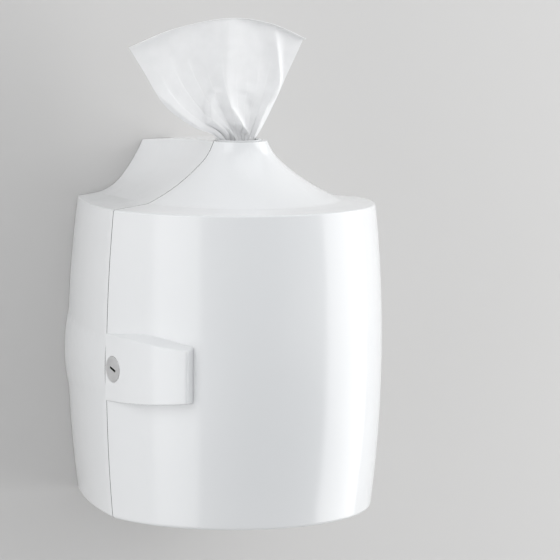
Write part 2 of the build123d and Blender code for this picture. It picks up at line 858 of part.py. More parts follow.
# Funnel that stands in the neck, with the seat of the slit insert under its throat
flange_top = funnel_flange_height + funnel_flange_thickness
skirt_foot = funnel_flange_height - funnel_skirt_drop
seat_level = skirt_foot + retainer_thickness + insert_thickness
with BuildPart() as nozzle_funnel:
    with BuildSketch(Plane.XZ.offset(rear_depth)):
        with BuildLine():
            Polyline(
                (insert_radius + nozzle_fit, at_height(skirt_foot)),
                (funnel_skirt_radius, at_height(skirt_foot)),
                (funnel_skirt_radius, at_height(funnel_flange_height)),
                (funnel_flange_radius, at_height(funnel_flange_height)),
                (funnel_flange_radius, at_height(flange_top)),
                (funnel_skirt_radius, at_height(flange_top)),
                (funnel_radius, at_height(mouth_height - funnel_collar_length)),
                (funnel_radius, at_height(mouth_height)),
                (funnel_mouth_radius, at_height(mouth_height)),
                (funnel_throat_radius, at_height(seat_level + 2)),
                (funnel_throat_radius, at_height(seat_level)),
                (insert_radius + nozzle_fit, at_height(seat_level)),
                close=True,
            )
        make_face()
    revolve(axis=Axis((0, neck_axis_y, 0), (0, 0, 1)))
    fillet(nozzle_funnel.faces().sort_by(Axis.Z)[-1].edges(), radius=0.9)
    with BuildSketch(Plane.XY.offset(at_height(flange_top))):
        with Locations((0, neck_axis_y)):
            with PolarLocations(funnel_screw_circle, funnel_screw_count, start_angle=90):
                Circle(small_screw_radius + screw_hole_clearance)
    extrude(amount=-funnel_flange_thickness, mode=Mode.SUBTRACT)
save(nozzle_funnel.part, "nozzle_funnel")

with BuildPart() as funnel_screws:
    with BuildSketch(Plane.XY.offset(at_height(flange_top))):
        with Locations((0, neck_axis_y)):
            with PolarLocations(funnel_screw_circle, funnel_screw_count, start_angle=90):
                Circle(small_screw_head_radius)
    extrude(amount=small_screw_head)
    with BuildSketch(Plane.XY.offset(at_height(flange_top))):
        with Locations((0, neck_axis_y)):
            with PolarLocations(funnel_screw_circle, funnel_screw_count, start_angle=90):
                Circle(small_screw_radius)
    extrude(amount=-funnel_flange_thickness - bracket_thickness - 1)
save(funnel_screws.part, "funnel_screws")

with BuildPart() as slit_insert:
    with BuildSketch(Plane.XY.offset(at_height(seat_level - insert_thickness))):
        with Locations((0, neck_axis_y)):
            Circle(insert_radius)
            Circle(insert_hole_radius, mode=Mode.SUBTRACT)
            with PolarLocations(insert_hole_radius, insert_slits):
                Rectangle(2 * insert_slit_length - 2, insert_slit_width, mode=Mode.SUBTRACT)
    extrude(amount=insert_thickness)
save(slit_insert.part, "slit_insert")

with BuildPart() as insert_ring:
    with BuildSketch(Plane.XY.offset(at_height(skirt_foot))):
        with Locations((0, neck_axis_y)):
            Circle(insert_radius)
            Circle(retainer_hole_radius, mode=Mode.SUBTRACT)
    extrude(amount=retainer_thickness)
save(insert_ring.part, "insert_ring")

# Refill tray: a flat dish on three bosses of the housing floor
tray_top = tray_height + tray_base
with BuildPart() as refill_tray:
    add(z_cylinder(tray_height, tray_rim_height, tray_radius))
    add(z_cylinder(tray_top, tray_rim_height, tray_radius - tray_wall), mode=Mode.SUBTRACT)
    fillet(refill_tray.edges().sort_by(Axis.Z)[:1], radius=1.5)
    for x, back in tray_screw_spots:
        with Locations((x, neck_axis_y + back, at_height(tray_top))):
            CounterSinkHole(tray_screw_radius + screw_hole_clearance, tray_screw_head_radius)
save(refill_tray.part, "refill_tray")

with BuildPart() as tray_screws:
    for x, back in tray_screw_spots:
        y = neck_axis_y + back
        head_drop = tray_screw_head_radius - tray_screw_radius
        add(z_cylinder(tray_top - tray_screw_length, tray_screw_length, tray_screw_radius, x, y))
        with Locations((x, y, at_height(tray_top) - head_drop / 2)):
            Cone(tray_screw_radius, tray_screw_head_radius - screw_hole_clearance, head_drop)
save(tray_screws.part, "tray_screws")

# Refill: bag, roll and the wipe drawn from the middle of the roll
bag_inner = roll_radius + bag_slack
bag_foot = tray_top + soft_gap
roll_foot = bag_foot + bag_wall + soft_gap
bag_shoulder = roll_foot + roll_height + bag_headroom
with BuildPart() as refill_bag:
    with BuildSketch(Plane.XZ.offset(rear_depth)):
        with BuildLine():
            foot, floor = at_height(bag_foot), at_height(bag_foot + bag_wall)
            neck = at_height(bag_shoulder + bag_neck_rise)
            shoulder = at_height(bag_shoulder)
            Polyline((0, floor), (0, foot), (bag_inner + bag_wall, foot),
                     (bag_inner + bag_wall, shoulder))
            TangentArc((bag_inner + bag_wall, shoulder), (bag_neck_radius, neck), tangent=(0, 1))
            Line((bag_neck_radius, neck), (bag_neck_radius, neck - bag_wall))
            TangentArc((bag_inner, shoulder), (bag_neck_radius, neck - bag_wall), tangent=(0, 1))
            Polyline((bag_inner, shoulder), (bag_inner, floor), (0, floor))
        make_face()
    revolve(axis=Axis((0, neck_axis_y, 0), (0, 0, 1)))
save(refill_bag.part, "refill_bag")

with BuildPart() as wipes_roll:
    add(z_cylinder(roll_foot, roll_height, roll_radius))
    add(z_cylinder(roll_foot, roll_height, roll_bore_radius), mode=Mode.SUBTRACT)
save(wipes_roll.part, "wipes_roll")

wipe_start = neck_height - wipe_neck_rise
strand_levels = (
    (roll_foot + strand_foot, strand_radius, 0.96 * strand_radius),
    (seat_level + 2, strand_radius, 0.96 * strand_radius),
    (wipe_start, 0.8 * wipe_bunch_half_width, wipe_bunch_depth),
)
with BuildPart() as wipe_strand:
    for level, half_width, half_depth in strand_levels:
        with BuildSketch(Plane.XY.offset(at_height(level))):
            with Locations((0, neck_axis_y)):
                Ellipse(half_width, half_depth)
    loft(ruled=True)
save(wipe_strand.part, "wipe_strand")

# The drawn wipe: rise over the neck, left and right reach, and depth of the folds
wipe_levels = (
    (-wipe_neck_rise, -0.76 * wipe_bunch_half_width, 0.76 * wipe_bunch_half_width, 3.0),
    (0.0, -wipe_bunch_half_width, wipe_bunch_half_width, 4.5),
    (8.0, -31.0, 21.0, 5.5),
    (14.0, -51.5, 28.5, 7.0),
    (26.0, -66.0, 38.0, 9.0),
    (43.0, -86.5, 45.5, 9.0),
    (62.0, -98.0, 56.0, 8.0),
    (wipe_left_rise, wipe_left_reach, 70.0, 6.0),
    (114.0, -131.0, 84.0, 5.0),
)
wipe_folds = (
    (0.0, 0.2), (0.16, -0.5), (0.32, 0.3), (0.43, -0.8), (0.52, 1.0),
    (0.66, -0.5), (0.8, 0.4), (0.9, -1.0), (1.0, 0.6),
)
with BuildPart() as wipe_sheet:
    for rise, left, right, depth in wipe_levels:
        spots = [(left + (right - left) * share, forward(depth * fold)) for share, fold in wipe_folds]
        front = [(x, y - wipe_thickness / 2) for x, y in spots]
        back = [(x, y + wipe_thickness / 2) for x, y in reversed(spots)]
        with BuildSketch(Plane.XY.offset(at_height(neck_height + rise))):
            with BuildLine():
                Polyline(*front, *back, close=True)
            make_face()
    loft(ruled=True)
    with BuildSketch(Plane.XZ.offset(rear_depth - 30)):
        left_tip = (wipe_left_reach, at_height(neck_height + wipe_left_rise))
        right_tip = (wipe_right_reach, at_height(neck_height + wipe_right_rise))
        low = at_height(wipe_start - 1)
        with BuildLine():
            ThreePointArc(
                left_tip,
                (wipe_crown_x, at_height(neck_height + wipe_crown_rise)),
                right_tip,
            )
            Polyline(
                right_tip,
                (right_tip[0] + 20, right_tip[1] - 10),
                (right_tip[0] + 20, low),
                (left_tip[0] - 20, low),
                (left_tip[0] - 20, left_tip[1] - 10),
                left_tip,
            )
        make_face()
    extrude(amount=60, mode=Mode.INTERSECT)
save(wipe_sheet.part, "wipe_sheet")
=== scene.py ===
"""Looks of the wall-mounted wipes dispenser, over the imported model, in metres.

The wall is the plane Y = 0, +Z is up, and heights are counted from the underside of the case.
"""

import json
import math

import bmesh
import bpy
from mathutils import Matrix, Vector, noise


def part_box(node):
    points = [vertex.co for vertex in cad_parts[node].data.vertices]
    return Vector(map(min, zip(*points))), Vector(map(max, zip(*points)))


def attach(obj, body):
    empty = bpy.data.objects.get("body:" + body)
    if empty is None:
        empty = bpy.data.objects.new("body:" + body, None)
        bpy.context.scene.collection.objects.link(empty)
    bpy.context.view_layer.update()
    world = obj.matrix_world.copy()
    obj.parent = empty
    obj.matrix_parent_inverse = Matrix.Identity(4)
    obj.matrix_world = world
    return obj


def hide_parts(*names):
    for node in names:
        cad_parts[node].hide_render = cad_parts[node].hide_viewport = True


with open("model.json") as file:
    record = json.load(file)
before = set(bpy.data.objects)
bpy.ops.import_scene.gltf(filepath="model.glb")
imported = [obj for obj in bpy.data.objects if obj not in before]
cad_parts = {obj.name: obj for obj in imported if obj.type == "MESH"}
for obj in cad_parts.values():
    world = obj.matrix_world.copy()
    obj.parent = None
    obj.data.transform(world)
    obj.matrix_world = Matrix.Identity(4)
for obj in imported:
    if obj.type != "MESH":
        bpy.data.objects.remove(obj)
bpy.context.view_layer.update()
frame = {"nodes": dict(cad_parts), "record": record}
nodes = frame["nodes"]
scene = bpy.context.scene
scene.view_settings.view_transform = "Standard"

# Millimetres in a metre, and a whole turn in radians
MM = 1000
TURN = 2 * math.pi

# Places on the model: height of the underside, the neck's axis, which is in the plane of the joint
# between the shells, and the key slot's walls and floor as a range of X
UNDERSIDE = -0.155
NECK_Y = -0.1435
KEYWAY = (-0.1408, -0.1366)

# Distance from one wound layer of the roll to the next, in mm
LAYER = 2.4

# The photograph's place, the point it looks at, its roll in degrees and its lens in mm
PHOTO_PLACE = (-1.641, -2.6985, 0.4385)
PHOTO_TARGET = (0.0333, -0.1655, 0.0539)
PHOTO_ROLL = 0.64
PHOTO_LENS, SENSOR_WIDTH = 212.9, 36.0
NEAREST, FARTHEST = 0.1, 30.0


def looking(location, target):
    """The turn that points a camera's or a light's axis from one place to another."""
    return (Vector(target) - Vector(location)).to_track_quat("-Z", "Y")


def aim(location, target, roll):
    """Makes the camera, turned to a point and then by a roll in degrees about its own axis."""
    data = bpy.data.cameras.new("camera")
    data.sensor_width = SENSOR_WIDTH
    data.lens = PHOTO_LENS
    data.clip_start, data.clip_end = NEAREST, FARTHEST
    camera = bpy.data.objects.new("camera", data)
    scene.collection.objects.link(camera)
    camera.location = location
    turn = looking(location, target).to_matrix().to_4x4()
    turn = Matrix.Rotation(math.radians(roll), 4, turn.to_3x3().col[2]) @ turn
    camera.rotation_euler = turn.to_euler()
    scene.camera = camera


aim(PHOTO_PLACE, PHOTO_TARGET, PHOTO_ROLL)


# Materials
class Shade:
    """A value that varies over a surface; sums and products on it add Math nodes."""

    def __init__(self, finish, socket):
        self.finish, self.socket = finish, socket

    def maths(self, operation, first, second=0.0):
        return self.finish.add("ShaderNodeMath", {"operation": operation}, {0: first, 1: second})

    def __add__(self, other):
        return self.maths("ADD", self, other)

    __radd__ = __add__

    def __sub__(self, other):
        return self.maths("SUBTRACT", self, other)

    def __rsub__(self, other):
        return self.maths("SUBTRACT", other, self)

    def __mul__(self, other):
        return self.maths("MULTIPLY", self, other)

    __rmul__ = __mul__

    def within(self, low, high):
        """One between two values and zero elsewhere."""
        return self.maths("GREATER_THAN", self, low) * self.maths("LESS_THAN", self, high)

    def ramp(self, low, high, out_low=0.0, out_high=1.0):
        """Maps low to high onto out_low to out_high, and clamps outside them."""
        limits = {0: self, 1: low, 2: high, 3: out_low, 4: out_high}
        return self.finish.add("ShaderNodeMapRange", {"clamp": True}, limits)


class Finish:
    """A node material of one Principled shader, built up from patterns on Object coordinates."""

    def __init__(self, name, **fixed):
        self.material = bpy.data.materials.new(name)
        self.material.use_nodes = True
        self.tree = self.material.node_tree
        self.shader = self.tree.nodes["Principled BSDF"]
        for socket, value in fixed.items():
            self.shader.inputs[socket.replace("_", " ")].default_value = value
        self.spot = self.add("ShaderNodeTexCoord", output="Object")

    def add(self, kind, settings=None, sockets=None, output=0):
        node = self.tree.nodes.new(kind)
        for key, value in (settings or {}).items():
            setattr(node, key, value)
        for key, value in (sockets or {}).items():
            self.join(node.inputs[key], value)
        return Shade(self, node.outputs[output])

    def join(self, socket, value):
        """Links a varying value to a socket, or sets a fixed one on it."""
        if isinstance(value, Shade):
            self.tree.links.new(value.socket, socket)
        else:
            socket.default_value = value

    def feed(self, name, value):
        """Gives one of the shader's inputs its value."""
        self.join(self.shader.inputs[name], value)

    def noise(self, scale, detail=2.0, rough=0.5, at=None):
        """Soft noise about 0.5, in features of one over the scale."""
        return self.add(
            "ShaderNodeTexNoise",
            {},
            {"Vector": at or self.spot, "Scale": scale, "Detail": detail, "Roughness": rough},
        )

    def stretched(self, x, y, z):
        """Object coordinates scaled apart along the axes."""
        return self.add("ShaderNodeMapping", {}, {"Vector": self.spot, "Scale": (x, y, z)})

    def part(self, axis):
        """One of X, Y and Z of the Object coordinates."""
        return self.add("ShaderNodeSeparateXYZ", {}, {0: self.spot}, output=axis)

    def tint(self, mask, low, high):
        """A colour from low to high by a mask of 0 to 1."""
        ends = [end if isinstance(end, Shade) else (*end, 1.0) for end in (low, high)]
        return self.add(
            "ShaderNodeMix", {"data_type": "RGBA"}, {0: mask, 6: ends[0], 7: ends[1]}, output=2
        )

    def clouded(self, pattern, low, high):
        """A colour that drifts from low to high over a noise pattern."""
        return self.tint(pattern.ramp(0.3, 0.7), low, high)

    def bump(self, height, distance):
        """Relief with a depth in metres."""
        sockets = {"Height": height, "Distance": distance, "Strength": 1.0}
        self.feed("Normal", self.add("ShaderNodeBump", {}, sockets))


def moulded_plastic(name, low, high, rough, grain, depth):
    """Injection-moulded plastic: faint flow marks, a fine skin and slightly uneven gloss."""
    finish = Finish(name, IOR=1.47)
    flow = finish.noise(9.0, 3.0)
    skin = finish.noise(grain, 3.0, 0.6)
    finish.feed("Base Color", finish.clouded(flow, low, high))
    finish.feed("Roughness", rough + (finish.noise(55.0, 4.0) - 0.5) * 0.12 + (skin - 0.5) * 0.06)
    finish.bump(skin, depth)
    return finish.material


def case_plastic():
    """White satin case: a faint orange-peel skin, uneven gloss and a dark line of painted shade in
    the joint.

    The line is where the piece's attribute joint is high; it is painted shade that stands in for
    the shade in the gap between the shells.
    """
    finish = Finish("case_plastic", IOR=1.49, Coat_Weight=0.25, Coat_Roughness=0.12)
    flow = finish.noise(6.0, 3.0)
    skin = finish.noise(420.0, 2.0, 0.5)
    smear = finish.noise(26.0, 5.0, 0.6)
    joint = finish.add("ShaderNodeAttribute", {"attribute_name": "joint"}, output="Fac")
    white = finish.clouded(flow, (0.79, 0.8, 0.81), (0.815, 0.822, 0.83))
    # painted shade: a near-black line where the gap between the shells falls in shade
    shadow = (0.05, 0.05, 0.052)
    finish.feed("Base Color", finish.tint(joint.ramp(0.5, 0.6), white, shadow))
    finish.feed("Roughness", 0.2 + (smear - 0.5) * 0.08 + (skin - 0.5) * 0.03)
    finish.bump(skin, 0.00002)
    return finish.material


def satin_metal(name, colour, rough, along, keyway=None):
    """Metal with fine drawn lines along one axis and small variations of gloss.

    keyway is the range of X over which the key slot's walls and floor are painted dark as shade.
    """
    finish = Finish(name, Metallic=1.0)
    scale = [900.0, 900.0, 900.0]
    scale[along] = 30.0
    lines = finish.noise(1.0, 3.0, 0.6, finish.stretched(*scale))
    cloud = finish.noise(60.0, 3.0)
    dull = tuple(0.86 * part for part in colour)
    metal = finish.clouded(cloud, dull, colour)
    if keyway:
        # painted shade inside the key slot
        shadow = (0.06, 0.06, 0.06)
        metal = finish.tint(finish.part(0).within(*keyway), metal, shadow)
    finish.feed("Base Color", metal)
    finish.feed("Roughness", rough + (lines - 0.5) * 0.2 + (cloud - 0.5) * 0.1)
    finish.bump(lines, 0.000006)
    return finish.material


def silicone():
    """Pale silicone rubber with a matt skin."""
    finish = Finish("silicone", IOR=1.41, Subsurface_Weight=0.15, Subsurface_Scale=0.002)
    skin = finish.noise(700.0, 2.0)
    pale = finish.tint(finish.noise(80.0), (0.6, 0.63, 0.65), (0.68, 0.7, 0.72))
    finish.feed("Base Color", pale)
    finish.feed("Roughness", 0.55 + (skin - 0.5) * 0.2)
    finish.bump(skin, 0.00001)
    return finish.material


def film():
    """Thin clear polyethylene: mostly see-through, with glossy creases."""
    finish = Finish("film", IOR=1.5, Specular_IOR_Level=0.7)
    crease = finish.noise(38.0, 5.0, 0.65, finish.stretched(1.0, 1.0, 0.35))
    clear = finish.tint(crease.ramp(0.35, 0.65), (0.75, 0.82, 0.86), (0.88, 0.92, 0.94))
    finish.feed("Base Color", clear)
    finish.feed("Alpha", crease.ramp(0.35, 0.75, 0.14, 0.42))
    finish.feed("Roughness", 0.12 + crease * 0.1)
    finish.bump(crease, 0.0004)
    return finish.material


def cloth(name, low, high, sheen):
    """Nonwoven cloth: laid fibres, faint pressed dimples and soft cloudy density."""
    finish = Finish(name, IOR=1.35, Sheen_Weight=sheen, Sheen_Roughness=0.6)
    fibres = finish.noise(1.0, 5.0, 0.7, finish.stretched(1400.0, 1400.0, 260.0))
    across = finish.noise(1.0, 4.0, 0.7, finish.stretched(420.0, 420.0, 1500.0))
    cloud = finish.noise(90.0, 4.0)
    web = fibres * 0.6 + across * 0.4
    finish.feed("Base Color", finish.clouded(cloud, low, high))
    finish.feed("Roughness", 0.82 + (web - 0.5) * 0.3)
    finish.bump(web + cloud * 0.25, 0.00015)
    return finish.material


def wound():
    """The roll's cloth, with a fine shadow between its wound layers on the ends."""
    finish = Finish("wound_cloth", IOR=1.35, Sheen_Weight=0.2, Sheen_Roughness=0.6)
    side, depth = finish.part(0), finish.part(1) - NECK_Y
    across = side.maths("SQRT", side * side + depth * depth)
    turns = side.maths("ARCTAN2", depth, side) * (1 / TURN)
    layer = side.maths("FRACT", across * (MM / LAYER) + turns)
    gap = layer.maths("ABSOLUTE", layer * 2.0 - 1.0).ramp(0.75, 1.0)
    fibres = finish.noise(1.0, 4.0, 0.7, finish.stretched(600.0, 600.0, 200.0))
    cloud = finish.noise(60.0, 4.0)
    pale = finish.clouded(cloud, (0.82, 0.83, 0.84), (0.88, 0.885, 0.89))
    finish.feed("Base Color", finish.tint(gap * 0.6, pale, (0.5, 0.52, 0.55)))
    finish.feed("Roughness", 0.85 + (fibres - 0.5) * 0.2)
    finish.bump(fibres, 0.0002)
    return finish.material


white_case = case_plastic()
white_inner = moulded_plastic(
    "inner_plastic",
    low=(0.66, 0.67, 0.68),
    high=(0.72, 0.73, 0.735),
    rough=0.48,
    grain=600.0,
    depth=0.00003,
)
zinc = {"colour": (0.93, 0.93, 0.935), "rough": 0.46, "along": 1}
lock_zinc = satin_metal("lock_zinc", **zinc)
plug_zinc = satin_metal("plug_zinc", keyway=KEYWAY, **zinc)
plated_steel = satin_metal("plated_steel", colour=(0.66, 0.665, 0.67), rough=0.28, along=2)
soft_silicone = silicone()
clear_film = film()
wound_cloth = wound()
wipe_cloth = cloth("wipe_cloth", low=(0.81, 0.812, 0.815), high=(0.845, 0.845, 0.85), sheen=0.2)

finishes = {
    "case_white": white_case,
    "inner_white": white_inner,
    "lock_metal": lock_zinc,
    "steel": plated_steel,
    "silicone": soft_silicone,
    "bag_film": clear_film,
    "wipe_cloth": wipe_cloth,
}
for subpart in frame["record"]["subparts"]:
    mesh = nodes[subpart["node"]].data
    mesh.materials.clear()
    mesh.materials.append(finishes[subpart["material_slot"]])
nodes["lock_plug"].data.materials[0] = plug_zinc


# How pieces are made and finished
def make_active(piece):
    """Selects one piece and no other."""
    bpy.ops.object.select_all(action="DESELECT")
    piece.select_set(True)
    bpy.context.view_layer.objects.active = piece


def finish_piece(piece, material, body, slot, *replaced):
    """Gives a finished piece its material and body; slot is not used."""
    piece.data.materials.clear()
    piece.data.materials.append(material)
    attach(piece, body)
    if replaced:
        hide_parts(*replaced)


def corner_angle(mesh, corners, place):
    """The angle between a face's two edges at one of its corners."""
    before, here, after = (
        mesh.vertices[mesh.loops[corners[(place + step) % len(corners)]].vertex_index].co
        for step in (-1, 0, 1)
    )
    return (before - here).angle(after - here, 0.0)


def even_normals(piece, angle):
    """Smooths each corner over the faces at its vertex that turn away by less than an angle."""
    mesh = piece.data
    around = [[] for _ in mesh.vertices]
    for polygon in mesh.polygons:
        corners = list(polygon.loop_indices)
        for place, index in enumerate(polygon.vertices):
            weight = polygon.area * corner_angle(mesh, corners, place)
            around[index].append((polygon.normal.copy(), weight))
    least = math.cos(math.radians(angle))
    normals = [Vector((0, 0, 1))] * len(mesh.loops)
    for polygon in mesh.polygons:
        for corner, index in zip(polygon.loop_indices, polygon.vertices):
            total = Vector()
            for normal, weight in around[index]:
                if normal.dot(polygon.normal) > least:
                    total += normal * weight
            normals[corner] = total.normalized() if total.length > 0 else polygon.normal.copy()
    mesh.normals_split_custom_set(normals)


# Vertices of the shells closer than this are merged, and edges that turn by more than this
# angle in degrees stay sharp
MERGE = 0.00002
SHARP = 30


def smooth_copy(node, name):
    """The node's own form, merged and smooth between its edges."""
    piece = nodes[node].copy()
    piece.data = nodes[node].data.copy()
    piece.name = piece.data.name = name
    piece.parent = None
    for key in list(piece.keys()):
        del piece[key]
    scene.collection.objects.link(piece)
    make_active(piece)
    bpy.ops.object.mode_set(mode="EDIT")
    bpy.ops.mesh.select_all(action="SELECT")
    bpy.ops.mesh.remove_doubles(threshold=MERGE)
    bpy.ops.mesh.dissolve_degenerate(threshold=MERGE)
    bpy.ops.object.mode_set(mode="OBJECT")
    bpy.ops.object.shade_smooth()
    even_normals(piece, SHARP)
    return piece


def mesh_of_rows(name, rows, closed, looped=False, capped=()):
    """A smooth piece from rows of points, each row joined to the next.

    closed joins the two ends of each row, looped joins the last row to the first, and capped
    names the rows that are filled, 0 or -1.
    """
    mesh = bmesh.new()
    lines = [[mesh.verts.new(spot) for spot in row] for row in rows]
    pairs = list(zip(lines, lines[1:])) + ([(lines[-1], lines[0])] if looped else [])
    for lower, upper in pairs:
        for column in range(len(lower) - (0 if closed else 1)):
            after = (column + 1) % len(lower)
            mesh.faces.new((lower[column], lower[after], upper[after], upper[column]))
    for row in capped:
        mesh.faces.new(lines[row] if row else lines[row][::-1])
    for face in mesh.faces:
        face.smooth = True
    data = bpy.data.meshes.new(name)
    mesh.to_mesh(data)
    mesh.free()
    piece = bpy.data.objects.new(name, data)
    scene.collection.objects.link(piece)
    return piece


def thicken(piece, thickness):
    """Gives a sheet its thickness, half to each side."""
    make_active(piece)
    wall = piece.modifiers.new("thickness", "SOLIDIFY")
    wall.thickness = thickness
    wall.offset = 0.0
    bpy.ops.object.modifier_apply(modifier="thickness")


# The barrel's own curve, in mm: half width, front, back half width, and how far each draws in
# at one span above or below the belly
BELLY = (139.7, 142.9, 97.0)
DRAWN_IN = (8.0, 11.9, 12.5)
BELLY_HEIGHT, BARREL_SPAN, PLAN_SETBACK, SIDE_BOW = 143.3, 150.0, 10.4, 6.0

# A vertex this near to the curve in mm is on it, and its normal is probed over this distance
ON_BARREL = 0.15
PROBE = 0.1

# Half the thickness of the slice about the joint in which the rim's face is looked for, in metres
RIM_SLACK = 0.00005

# A face looks along a direction if this much of its normal, which has length 1, lies along it
LOOKS_ALONG = 0.95


def off_barrel(x, y, z):
    """Rough distance of a place in mm from the barrel's outer face, outside it positive."""
    rise = ((z - MM * UNDERSIDE) - BELLY_HEIGHT) / BARREL_SPAN
    half, front, back = (full - drawn * rise * rise for full, drawn in zip(BELLY, DRAWN_IN))
    seam = MM * NECK_Y
    if y < seam:
        return (math.hypot(x / half, (y - seam - PLAN_SETBACK) / front) - 1) * half
    start = half * math.sqrt(1 - (PLAN_SETBACK / front) ** 2)
    along = Vector((back - start, -seam))
    radius = (along.length_squared / 4 + SIDE_BOW**2) / (2 * SIDE_BOW)
    outward = Vector((along.y, -along.x)).normalized()
    centre = Vector((start, seam)) + along / 2 - outward * (radius - SIDE_BOW)
    return (Vector((abs(x), y)) - centre).length - radius


def barrel_normal(spot):
    """The normal of the barrel's face at a vertex, or nothing where the vertex is off it."""
    x, y, z = (MM * part for part in spot)
    if abs(off_barrel(x, y, z)) > ON_BARREL:
        return None
    slope = (
        off_barrel(x + PROBE, y, z) - off_barrel(x - PROBE, y, z),
        off_barrel(x, y + PROBE, z) - off_barrel(x, y - PROBE, z),
        off_barrel(x, y, z + PROBE) - off_barrel(x, y, z - PROBE),
    )
    return Vector(slope).normalized()


def true_barrel(piece):
    """Gives the vertices on the barrel's outer face the exact normals of its curve."""
    mesh = piece.data
    exact = [barrel_normal(vertex.co) for vertex in mesh.vertices]
    normals = [Vector(corner.vector) for corner in mesh.corner_normals]
    for polygon in mesh.polygons:
        for corner in polygon.loop_indices:
            better = exact[mesh.loops[corner].vertex_index]
            if better is not None and polygon.normal.dot(better) > LOOKS_ALONG:
                normals[corner] = better
    mesh.normals_split_custom_set(normals)


def mark_joint_shade(piece, rim_y):
    """Marks the outer edge of the rim face in the joint, in the corner attribute joint, where the
    painted shade of the gap goes.
    """
    mesh = piece.data
    behind = set()
    for polygon in mesh.polygons:
        if polygon.center.y > rim_y + RIM_SLACK:
            behind.update(polygon.vertices)
    mark = mesh.attributes.new("joint", "FLOAT", "CORNER")
    for polygon in mesh.polygons:
        if polygon.normal.y < -LOOKS_ALONG and abs(polygon.center.y - rim_y) < RIM_SLACK:
            for corner, index in zip(polygon.loop_indices, polygon.vertices):
                mark.data[corner].value = float(index in behind)


# The two shells
cover_shell = smooth_copy("front_cover", "cover_shell")
true_barrel(cover_shell)
finish_piece(cover_shell, white_case, "cover", "case_white", "front_cover")
housing_shell = smooth_copy("rear_housing", "housing_shell")
true_barrel(housing_shell)
mark_joint_shade(housing_shell, NECK_Y)
finish_piece(housing_shell, white_case, "housing", "case_white", "rear_housing")


# The drawn wipe
def between(points, share):
    """A point on a smooth curve through evenly spaced points."""
    last = len(points) - 1
    place = min(max(share, 0.0), 1.0) * last
    index = min(int(place), last - 1)
    part = place - index
    p0, p1 = points[max(index - 1, 0)], points[index]
    p2, p3 = points[index + 1], points[min(index + 2, last)]
    return [
        0.5
        * (
            2 * b
            + (c - a) * part
            + (2 * a - 5 * b + 4 * c - d) * part**2
            + (3 * b - a - 3 * c + d) * part**3
        )
        for a, b, c, d in zip(p0, p1, p2, p3)
    ]


# Guide lines up the sheet from its gathered foot to its free edge: x and height in mm, at
# six even distances, for five places across the sheet
wipe_guides = (
    ((-5, 326), (-26, 343), (-51, 353), (-80, 373), (-99, 401), (-116.2, 426.1)),
    ((-3, 318), (-10, 345), (-30, 366), (-46, 393), (-59, 420), (-70, 442)),
    ((-1, 305), (-2, 334), (-10, 363), (-14, 392), (-15, 421), (-14, 450.3)),
    ((2, 300), (4, 331), (12, 359), (21, 387), (26, 415), (31, 445)),
    ((4, 297), (11, 327), (27, 350), (42, 375), (56, 400), (71.5, 429.7)),
)

# Folds of the drawn wipe. Each place on a fold: share of the way up, share across, how far it
# stands forward in mm, and its reach to the left and to the right as shares of the width
main_fold = (
    (0.0, 0.8, 1.0, 0.1, 0.1),
    (0.2, 0.86, 5.0, 0.14, 0.07),
    (0.28, 0.8, 6.5, 0.18, 0.08),
    (0.33, 0.62, 6.5, 0.2, 0.12),
    (0.44, 0.5, 5.0, 0.12, 0.13),
    (0.57, 0.485, 4.2, 0.2, 0.19),
    (0.8, 0.5, 4.4, 0.36, 0.22),
    (1.0, 0.5, 4.2, 0.4, 0.24),
)
pocket_fold = (
    (0.12, 0.2, 0.0, 0.04, 0.3),
    (0.2, 0.16, 3.4, 0.05, 0.42),
    (0.34, 0.17, 4.2, 0.06, 0.4),
    (0.44, 0.27, 3.6, 0.06, 0.24),
    (0.52, 0.37, 1.8, 0.05, 0.12),
    (0.56, 0.4, 0.0, 0.05, 0.08),
)
right_fold = (
    (0.5, 0.92, 0.0, 0.1, 0.04),
    (0.62, 0.95, 3.0, 0.16, 0.05),
    (0.74, 0.9, 4.6, 0.17, 0.07),
    (0.88, 0.82, 4.2, 0.11, 0.07),
    (1.0, 0.78, 1.0, 0.1, 0.08),
)
right_rim = (
    (0.2, 0.93, 2.0, 0.07, 0.06),
    (0.42, 0.87, 4.5, 0.1, 0.13),
    (0.6, 0.9, 3.0, 0.08, 0.1),
    (0.75, 0.93, 0.0, 0.06, 0.08),
)
left_rim = (
    (0.3, 0.03, 0.0, 0.05, 0.1),
    (0.42, 0.04, 2.6, 0.06, 0.12),
    (0.58, 0.04, 2.2, 0.06, 0.12),
    (0.72, 0.0, 0.0, 0.05, 0.1),
)
cross_dent = (
    (0.38, 0.74, 0.0, 0.1, 0.1),
    (0.47, 0.72, -2.2, 0.14, 0.12),
    (0.52, 0.7, -0.6, 0.14, 0.14),
    (0.56, 0.66, 1.2, 0.12, 0.16),
    (0.62, 0.68, 0.0, 0.1, 0.1),
)
wipe_folds = (main_fold, pocket_fold, right_fold, right_rim, left_rim, cross_dent)


# Roundness of a fold's crest, as a share of its reach
CREST = 0.1


def standing(fold, share, up):
    """How far one fold stands forward at a place on the sheet, in mm.

    A fold that runs to the free edge brings all of that edge forward by its last height.
    """
    first, last = fold[0][0], fold[-1][0]
    if up == last == 1.0:
        return fold[-1][2]
    if not first <= up < last:
        return 0.0
    index = max(i for i, level in enumerate(fold) if level[0] <= up)
    below, above = fold[index], fold[index + 1]
    part = (up - below[0]) / (above[0] - below[0])
    eased = part * part * (3 - 2 * part)
    place = below[1] + (above[1] - below[1]) * part
    height, left, right = (a + (b - a) * eased for a, b in zip(below[2:], above[2:]))
    offset = (share - place) / (left if share < place else right)
    reach = max(0.0, 1.0 + CREST - math.hypot(offset, CREST))
    return height * min(reach, 1.0) ** 2


# Pleats of the gathered foot: their number, how far they crowd to one side, in pleats, and the
# share of the width over which they fade out at each side edge
PLEATS, CROWDING, HEM = 12, 0.45, 1 / 16

